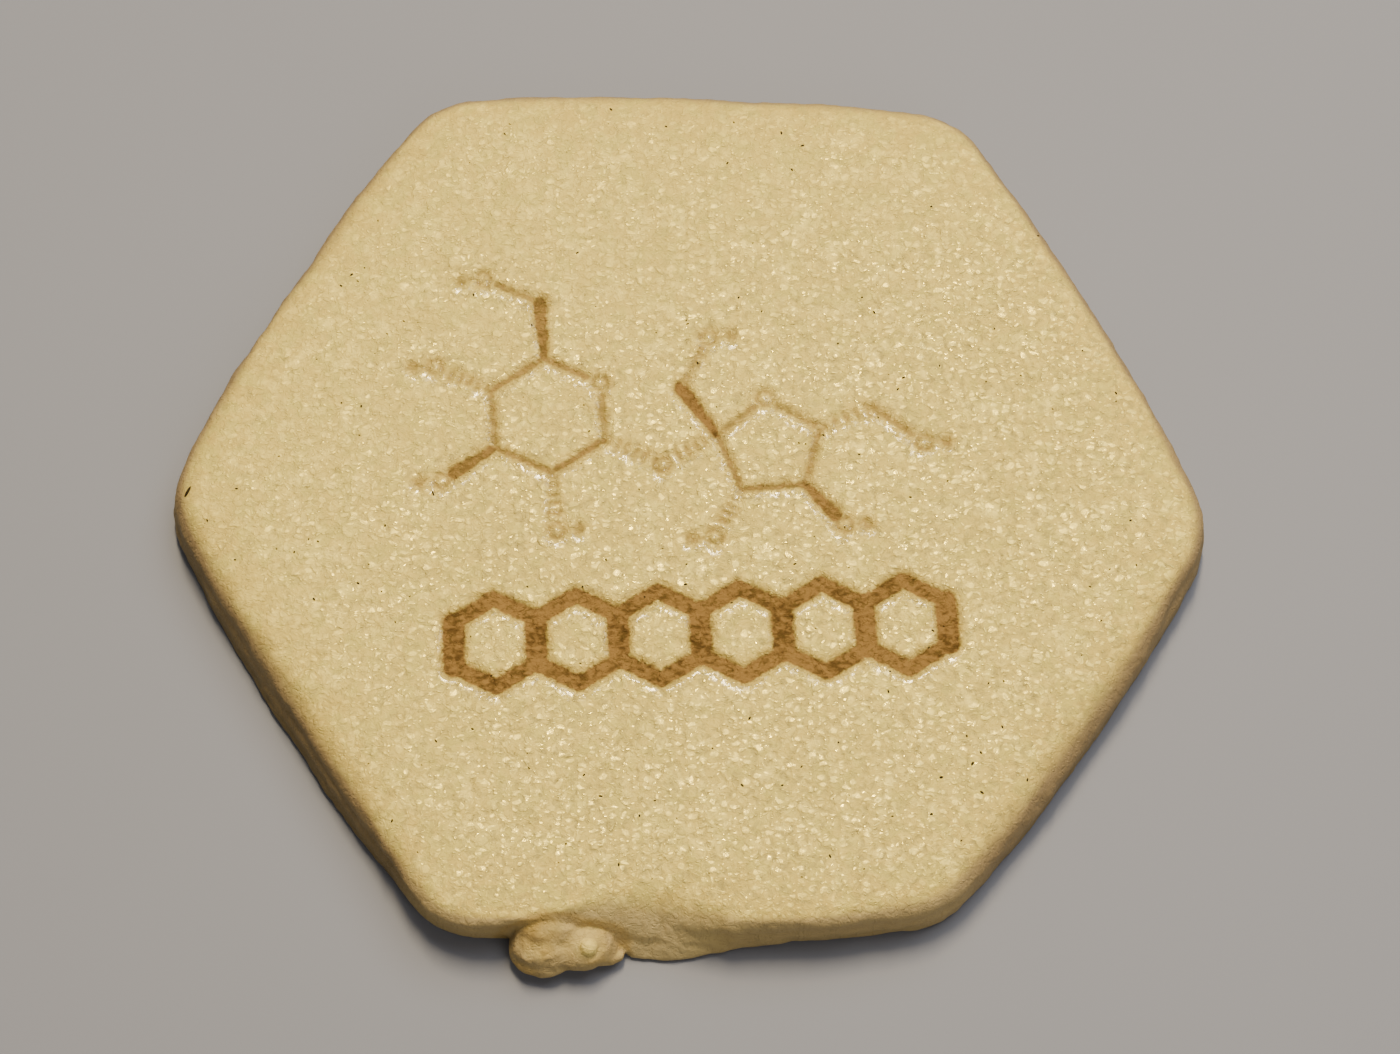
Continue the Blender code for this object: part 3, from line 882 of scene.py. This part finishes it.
def crumb_group():
    """Shader group: the height of the fine crumb in millimetres and masks of its parts."""
    tree = bpy.data.node_groups.new("baked_crumb", "ShaderNodeTree")
    face = tree.interface
    for name in ("Fineness", "Spots"):
        face.new_socket(name, in_out="INPUT", socket_type="NodeSocketFloat").default_value = 1.0
    kit = NodeKit(tree)
    entry = kit.add("NodeGroupInput")
    place = kit.add("ShaderNodeTexCoord").outputs["Object"]
    scale = kit.times(entry.outputs["Fineness"], 1 / MM)
    scaled = kit.add("ShaderNodeVectorMath", {0: place, "Scale": scale}, operation="SCALE")
    spot = scaled.outputs[0]

    drift = kit.add("ShaderNodeTexNoise", {"Vector": spot, "Scale": 1.1, "Detail": 1.0})
    sway = drift.outputs["Color"]
    push = kit.vector("MULTIPLY_ADD", sway, (1.1, 1.1, 1.1), (-0.55, -0.55, -0.55))
    bent = kit.vector("ADD", spot, push)

    cells = kit.add("ShaderNodeTexVoronoi", {"Vector": bent, "Scale": 1 / 0.52})
    chance = kit.add("ShaderNodeSeparateColor", {"Color": cells.outputs["Color"]})
    offset = kit.vector("SUBTRACT", bent, cells.outputs["Position"])
    lean = kit.vector("MULTIPLY_ADD", cells.outputs["Color"], (1.0, 1.0, 0.3), (-0.5, -0.5, -0.15))
    tilt = kit.add("ShaderNodeVectorMath", {0: offset, 1: lean}, operation="DOT_PRODUCT")
    fine = kit.noise(bent, 0.3)
    blisters = kit.drops(bent, 1.2, -0.4, 0.5)
    blisters = kit.times(blisters, entry.outputs["Spots"])
    swayed = kit.vector("MULTIPLY_ADD", sway, (0.7, 0.7, 0.0), spot)
    large = kit.drops(kit.vector("MULTIPLY", swayed, (0.8, 1.15, 1.0)), 0.72, -0.1, 0.55)
    small = kit.drops(kit.vector("MULTIPLY", swayed, (1.0, 1.35, 1.0)), 0.44, -0.15, 0.5)
    crumb = kit.greater(kit.times(large, 0.8), small)
    grit = kit.noise(swayed, 0.7, detail=3.0, roughness=0.7)
    dots = kit.times(crumb, entry.outputs["Spots"])
    # Painted shade mask: the low places of the grit, which the bump also sinks
    gaps = kit.times(kit.rise(grit, 0.56, 0.32), entry.outputs["Spots"])
    rough = kit.scaled(grit, 0.16, kit.times(fine, 0.1))
    rough = kit.times(rough, kit.scaled(crumb, -0.9, 1.0))
    height = kit.scaled(tilt.outputs["Value"], 0.2, rough)
    height = kit.scaled(blisters, 0.05, height)
    height = kit.scaled(crumb, 0.16, height)
    mottle = kit.noise(spot, 3.2)
    pores = kit.rise(kit.noise(bent, 0.6, detail=1.0), 0.36, 0.26)
    results = {"Height": height, "Fine": fine, "Mottle": mottle, "Blisters": blisters}
    results.update({"Pores": pores, "Dots": dots, "Gaps": gaps})
    results.update({"Flakes": chance.outputs[0], "Gloss": chance.outputs[1]})
    for name in results:
        face.new_socket(name, in_out="OUTPUT", socket_type="NodeSocketFloat")
    kit.add("NodeGroupOutput", results)
    return tree


def new_material(name):
    """A material with only its Principled shader, and a kit for its nodes."""
    material = bpy.data.materials.new(name)
    material.use_nodes = True
    shader = material.node_tree.nodes["Principled BSDF"]
    return material, shader, NodeKit(material.node_tree)


def dough_masks(kit, crumb):
    """What the dough's colour, gloss and bump share: stored numbers, crumb and patches."""
    group = kit.add("ShaderNodeGroup", {"Fineness": 1.0}, node_tree=crumb)
    masks = SimpleNamespace(**{name: kit.attribute(name) for name in STORED})
    bare = kit.greater(masks.wall_share, masks.scrap_share)
    kit.feed(group.inputs["Spots"], kit.maths("SUBTRACT", 1.0, bare))
    for output in group.outputs:
        setattr(masks, output.name.lower(), output)
    place = kit.add("ShaderNodeTexCoord").outputs["Object"]
    masks.spot = spot = kit.vector("MULTIPLY", place, [1 / MM] * 3)
    masks.parts = kit.add("ShaderNodeSeparateXYZ", {"Vector": spot}).outputs
    masks.heart = kit.rise(masks.rim_distance, 1.0, 9.0)
    masks.patchy = kit.rise(kit.noise(spot, 2.3), 0.38, 0.6)
    # Where the crumb specks get gloss and painted cream highlights: more at the front and right,
    # and near the strokes
    slanted = kit.scaled(masks.parts["X"], -0.5, masks.parts["Y"])
    front = kit.times(kit.rise(slanted, *SPECK_GLINT_BACK), kit.rise(masks.parts["X"], *SPECK_GLINT_LEFT))
    near = kit.rise(masks.scorch_distance, 3.0, 0.3)
    masks.share = kit.scaled(kit.greater(front, near), 0.5, kit.scaled(masks.patchy, 0.3, 0.25))
    masks.spotted = kit.times(masks.dots, masks.share)
    # The strokes' greasy edges: a glossy coat, and a painted highlight in the top's colour
    masks.greasy = kit.times(masks.grease, kit.rise(kit.noise(spot, 0.36), 0.46, 0.53))
    ragged = kit.times(kit.maths("SUBTRACT", kit.noise(spot, 0.45, detail=3.0), 0.5), 0.5)
    masks.edge = kit.maths("ADD", masks.scorch_distance, ragged)
    toned = kit.rise(masks.scorch_tone, -0.25, 1.05)
    masks.burnt = kit.times(kit.rise(masks.edge, 0.15, -0.2), toned)
    return masks


def top_colour(kit, masks, colours):
    """Colour of the unscorched top: tan to pale, with greener patches, cream patches, painted
    highlights on the specks and painted shade in the hollows.
    """
    spot = masks.spot
    toned = kit.maths("ADD", kit.times(masks.heart, 0.75), kit.maths("SUBTRACT", masks.mottle, 0.5))
    skin = kit.blend(kit.rise(toned, -0.05, 0.75), colours.tan, colours.pale)
    greener = kit.times(kit.rise(kit.noise(spot, 2.0), 0.45, 0.62), 0.7)
    skin = kit.blend(greener, skin, colours.straw)
    # Cream patches and blisters, and painted highlights: cream on the crumb specks, the greasy
    # stroke edges and the tops of the fine bumps, stronger in the middle
    cream_and_highlight = kit.times(kit.rise(masks.flakes, 0.5, 1.0), kit.scaled(masks.patchy, 0.25, 0.15))
    cream_and_highlight = kit.greater(cream_and_highlight, kit.times(masks.blisters, 0.4))
    cream_and_highlight = kit.greater(cream_and_highlight, kit.scaled(masks.greasy, 0.4, masks.spotted))
    frosted = kit.rise(kit.noise(spot, 1.9, detail=3.0), 0.52, 0.66)
    frosted = kit.times(frosted, kit.rise(kit.noise(spot, 17.0), 0.3, 0.55))
    cream_and_highlight = kit.scaled(frosted, 0.45, cream_and_highlight)
    cream_and_highlight = kit.maths("ADD", cream_and_highlight, kit.times(kit.rise(masks.fine, 0.5, 0.75), 0.25))
    cream_and_highlight = kit.times(cream_and_highlight, kit.scaled(masks.heart, 0.35, 0.6), clamp=True)
    skin = kit.blend(cream_and_highlight, skin, colours.cream)
    # Painted shade in the hollows between crumbs and in the pores
    gaps = kit.times(masks.gaps, kit.scaled(masks.share, 0.7, 0.1))
    gaps = kit.greater(kit.times(masks.pores, 0.35), gaps)
    return kit.blend(gaps, skin, colours.hollow_shade)


def side_colour(kit, masks, colours, skin):
    """Lays the wall in a brown darkened by painted shade, painted shade toward its foot, the torn
    face, painted light on the front wall, the scrap with painted shade in its seam, and the bead
    over skin.
    """
    wall, scrap = masks.wall_share, masks.scrap_share
    # The baked brown wall, darkened by painted shade
    shaded_wall = kit.times(wall, kit.scaled(masks.torn_share, -0.45, 1.0))
    skin = kit.blend(shaded_wall, skin, colours.wall)
    # Painted shade: the wall darker toward the floor
    foot_shade_colour = tuple(part * 0.55 for part in colours.wall)
    foot = kit.times(shaded_wall, kit.rise(masks.parts["Z"], *FOOT_SHADE))
    skin = kit.blend(kit.times(foot, 0.55), skin, foot_shade_colour)
    # Torn colour on the torn face and the scrap, and painted light: the front wall lighter where
    # the front fill light falls
    bared_and_lit = kit.times(masks.torn_share, wall)
    bared_and_lit = kit.greater(kit.times(bared_and_lit, 0.9), kit.times(scrap, 0.45))
    front_wall_light = kit.times(wall, kit.rise(masks.parts["Y"], *FRONT_WALL_LIGHT))
    bared_and_lit = kit.greater(bared_and_lit, kit.times(front_wall_light, 0.55))
    skin = kit.blend(bared_and_lit, skin, colours.torn)
    skin = kit.blend(kit.times(scrap, 0.36), skin, colours.wall)
    gilded = kit.times(scrap, kit.rise(masks.mottle, 0.4, 0.7))
    skin = kit.blend(kit.times(gilded, 0.7), skin, colours.golden)
    # Painted shade: golden darkening in the crease where the scrap meets the cookie
    seam = kit.times(scrap, kit.maths("SUBTRACT", 1.0, scrap))
    skin = kit.blend(kit.times(seam, 1.8), skin, colours.golden)
    return kit.blend(kit.times(masks.bead_share, 0.45), skin, colours.cream)


def scorch_colour(kit, masks, colours, skin):
    """Lays the golden halo and the brown, streaky and cracked strokes over skin."""
    halo = kit.times(kit.rise(masks.edge, 0.8, 0.0), kit.scaled(masks.scorch_tone, 0.15, 0.3))
    skin = kit.blend(halo, skin, colours.golden)
    streaky = kit.vector("MULTIPLY", masks.spot, (0.85, 1.3, 1.0))
    grain = kit.noise(streaky, 0.6, detail=4.0, distortion=0.5)
    grain = kit.maths("ADD", kit.times(grain, 0.6), kit.times(masks.mottle, 0.4))
    brown = kit.blend(kit.rise(grain, 0.37, 0.56), colours.scorch_dark, colours.scorch_light)
    course = kit.maths("SUBTRACT", kit.noise(streaky, 0.8), 0.5)
    cracks = kit.rise(kit.maths("ABSOLUTE", course), 0.05, 0.012)
    cracks = kit.times(cracks, kit.rise(kit.noise(masks.spot, 1.1), 0.46, 0.56))
    brown = kit.blend(kit.times(cracks, 0.6), brown, colours.crack)
    return kit.blend(masks.burnt, skin, brown)


def dough_material(colours, crumb):
    """Pale buttery dough, tan at the rim, golden to brown in the scorched strokes."""
    material, shader, kit = new_material("baked_dough")
    masks = dough_masks(kit, crumb)
    skin = side_colour(kit, masks, colours, top_colour(kit, masks, colours))
    skin = scorch_colour(kit, masks, colours, skin)

    wet = kit.times(masks.patchy, kit.scaled(masks.heart, 0.5, 0.5))
    wet = kit.times(wet, kit.rise(masks.gloss, 0.2, 0.8))
    wet = kit.scaled(wet, 0.3, masks.spotted)
    unburnt = kit.maths("SUBTRACT", 1.0, masks.burnt)
    wet = kit.times(kit.greater(wet, masks.greasy), unburnt)
    dry = kit.scaled(masks.burnt, 0.25, 0.65)
    rough = kit.scaled(masks.wall_share, 0.1, 0.65)
    rise = kit.times(masks.height, kit.scaled(masks.heart, 0.35, rough))
    rise = kit.times(rise, kit.scaled(masks.greasy, -0.5, 1.0))
    relief = kit.add("ShaderNodeBump", {"Height": rise, "Distance": MM, "Strength": 1.0})
    inputs = {
        "Base Color": skin,
        "Roughness": kit.scaled(wet, -0.47, dry, clamp=True),
        "Specular IOR Level": 1.0,
        "Specular Tint": (1.0, 0.84, 0.18),
        "Coat Weight": kit.times(masks.greasy, unburnt),
        "Coat Roughness": 0.1,
        "Normal": relief.outputs[0],
    }
    kit.fill(shader, inputs)
    return material


def fleck_material(colours, crumb):
    """Dark specks of herb and burnt crumb."""
    material, shader, kit = new_material("dark_fleck")
    group = kit.add("ShaderNodeGroup", {"Fineness": 3.0}, node_tree=crumb)
    lighter = tuple(min(part * 2.5, 1.0) for part in colours.fleck)
    colour = kit.blend(kit.rise(group.outputs["Mottle"], 0.35, 0.65), colours.fleck, lighter)
    relief = kit.add("ShaderNodeBump", {"Height": group.outputs["Height"], "Distance": 0.3 * MM})
    kit.fill(shader, {"Base Color": colour, "Normal": relief.outputs[0]})
    kit.fill(shader, {"Roughness": 0.8, "Specular IOR Level": 0.1})
    return material


def floor_material(colour):
    """A plain matt tabletop with the faintest unevenness."""
    material, shader, kit = new_material("plain_floor")
    place = kit.add("ShaderNodeTexCoord").outputs["Object"]
    cloud = kit.noise(place, 1 / 30, detail=3.0)
    darker = tuple(part * 0.96 for part in colour)
    kit.fill(shader, {"Base Color": kit.blend(cloud, darker, colour), "Roughness": 0.6})
    return material


def shared_crumb():
    """The crumb group, made the first time that it is needed."""
    return bpy.data.node_groups.get("baked_crumb") or crumb_group()


class COOKIE_OT_bake_dough(bpy.types.Operator):
    """Makes the cookie with its scorched figure and the dough scrap on its edge"""

    bl_idname = "cookie.bake_dough"
    bl_label = "Bake Dough"

    def execute(self, context):
        cookie = make_dough(context)
        cookie.data.materials.clear()
        cookie.data.materials.append(dough_material(context.scene.cookie_colours, shared_crumb()))
        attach(cookie, "root")
        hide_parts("cookie")
        return {"FINISHED"}


class COOKIE_OT_strew_flecks(bpy.types.Operator):
    """Strews the dark flecks over the top, each half sunk in it"""

    bl_idname = "cookie.strew_flecks"
    bl_label = "Strew Flecks"

    def execute(self, context):
        graph = context.evaluated_depsgraph_get()
        tree = BVHTree.FromObject(bpy.data.objects["baked_cookie"], graph)
        form = SlabForm(context.scene.cookie_shape)
        draw = random.Random(context.scene.cookie_flecks.seed)
        bm = bmesh.new()

        def add(place, length, width, degrees):
            start = Vector((place[0] * MM, place[1] * MM, 2 * THICKNESS * MM))
            hit, normal, _, _ = tree.ray_cast(start, Vector((0, 0, -1)))
            if hit is None:
                raise RuntimeError(f"no dough under the fleck at {place}")
            lean = Vector((0, 0, 1)).rotation_difference(normal).to_matrix().to_4x4()
            turn = Matrix.Rotation(math.radians(degrees), 4, "Z")
            size = Matrix.Diagonal((length / 2 * MM, width / 2 * MM, width / 3 * MM, 1))
            matrix = Matrix.Translation(hit) @ lean @ turn @ size
            bmesh.ops.create_icosphere(bm, subdivisions=2, radius=1.0, matrix=matrix)

        for fleck in CLEAR_FLECKS:
            add(*fleck)
        for _ in range(context.scene.cookie_flecks.count):
            angle = draw.uniform(0, math.tau)
            radius = math.sqrt(draw.random()) * (form.outline_radius(angle) - 2.5)
            width = draw.uniform(0.08, 0.18)
            place = (radius * math.cos(angle), radius * math.sin(angle))
            add(place, width * draw.uniform(1.0, 2.2), width, draw.uniform(0, 180))
        flecks = object_of(bm, "dark_flecks")
        flecks.data.shade_smooth()
        flecks.data.materials.append(fleck_material(context.scene.cookie_colours, shared_crumb()))
        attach(flecks, "root")
        return {"FINISHED"}


def area_light(name, direction, sizes, power, colour):
    """A light of this width and length, which shines on the cookie from (azimuth, elevation)."""
    azimuth, elevation = (math.radians(part) for part in direction)
    away = at(azimuth, math.cos(elevation), math.sin(elevation))
    light = bpy.data.lights.new(name, "AREA")
    light.shape = "RECTANGLE"
    light.size, light.size_y = sizes
    light.energy = power
    light.color = colour
    lamp = bpy.data.objects.new(name, light)
    lamp.location = away * LIGHT_DISTANCE
    lamp.rotation_euler = away.to_track_quat("Z", "Y").to_euler()
    bpy.context.scene.collection.objects.link(lamp)


class COOKIE_OT_set_stage(bpy.types.Operator):
    """Makes the floor, the lights, the room and the camera"""

    bl_idname = "cookie.set_stage"
    bl_label = "Set Stage"

    def execute(self, context):
        settings = context.scene.cookie_stage
        bm = bmesh.new()
        bmesh.ops.create_grid(bm, x_segments=1, y_segments=1, size=FLOOR_REACH)
        bmesh.ops.translate(bm, verts=bm.verts, vec=(0, 0, SOLID_LOW.z - FLOOR_GAP * MM))
        floor = object_of(bm, "floor")
        floor.data.materials.append(floor_material(settings.floor_colour))

        for name, (direction, sizes, power, colour) in LIGHTS.items():
            area_light(name, direction, sizes, getattr(settings, power), colour)
        world = bpy.data.worlds.new("soft_room")
        world.use_nodes = True
        backdrop = world.node_tree.nodes["Background"]
        backdrop.inputs["Color"].default_value = ROOM_COLOUR
        backdrop.inputs["Strength"].default_value = settings.surround
        context.scene.world = world

        lens = bpy.data.cameras.new("photo_view")
        lens.lens = VIEW_LENS
        lens.sensor_width = 36.0
        lens.clip_start = 0.01
        camera = bpy.data.objects.new("photo_view", lens)
        lift = math.radians(VIEW_ELEVATION)
        back = Vector((0, -math.cos(lift), math.sin(lift)))
        camera.location = (Vector(VIEW_TARGET) + back * VIEW_DISTANCE) * MM
        camera.rotation_euler = back.to_track_quat("Z", "Y").to_euler()
        context.scene.collection.objects.link(camera)
        context.scene.camera = camera
        return {"FINISHED"}


class COOKIE_PT_panel(bpy.types.Panel):
    """Lists the cookie's settings and steps"""

    bl_idname = "COOKIE_PT_panel"
    bl_label = "Sugar Cookie"
    bl_space_type = "VIEW_3D"
    bl_region_type = "UI"
    bl_category = "Cookie"

    def draw(self, context):
        for group in SETTINGS:
            settings = getattr(context.scene, group)
            box = self.layout.box()
            for name in settings.__annotations__:
                box.prop(settings, name)
        for step in STEPS:
            self.layout.operator(step.bl_idname)


STEPS = (COOKIE_OT_bake_dough, COOKIE_OT_strew_flecks, COOKIE_OT_set_stage)
SETTINGS = {
    "cookie_shape": ShapeSettings,
    "cookie_scorch": ScorchSettings,
    "cookie_colours": ColourSettings,
    "cookie_flecks": FleckSettings,
    "cookie_stage": StageSettings,
}


def register():
    for item in (*SETTINGS.values(), *STEPS, COOKIE_PT_panel):
        bpy.utils.register_class(item)
    for name, group in SETTINGS.items():
        setattr(bpy.types.Scene, name, PointerProperty(type=group))


def unregister():
    for name in SETTINGS:
        delattr(bpy.types.Scene, name)
    for item in reversed((*SETTINGS.values(), *STEPS, COOKIE_PT_panel)):
        bpy.utils.unregister_class(item)


def main():
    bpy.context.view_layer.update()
    register()
    bpy.ops.cookie.bake_dough()
    bpy.ops.cookie.strew_flecks()
    bpy.ops.cookie.set_stage()


if __name__ == "__main__":
    main()
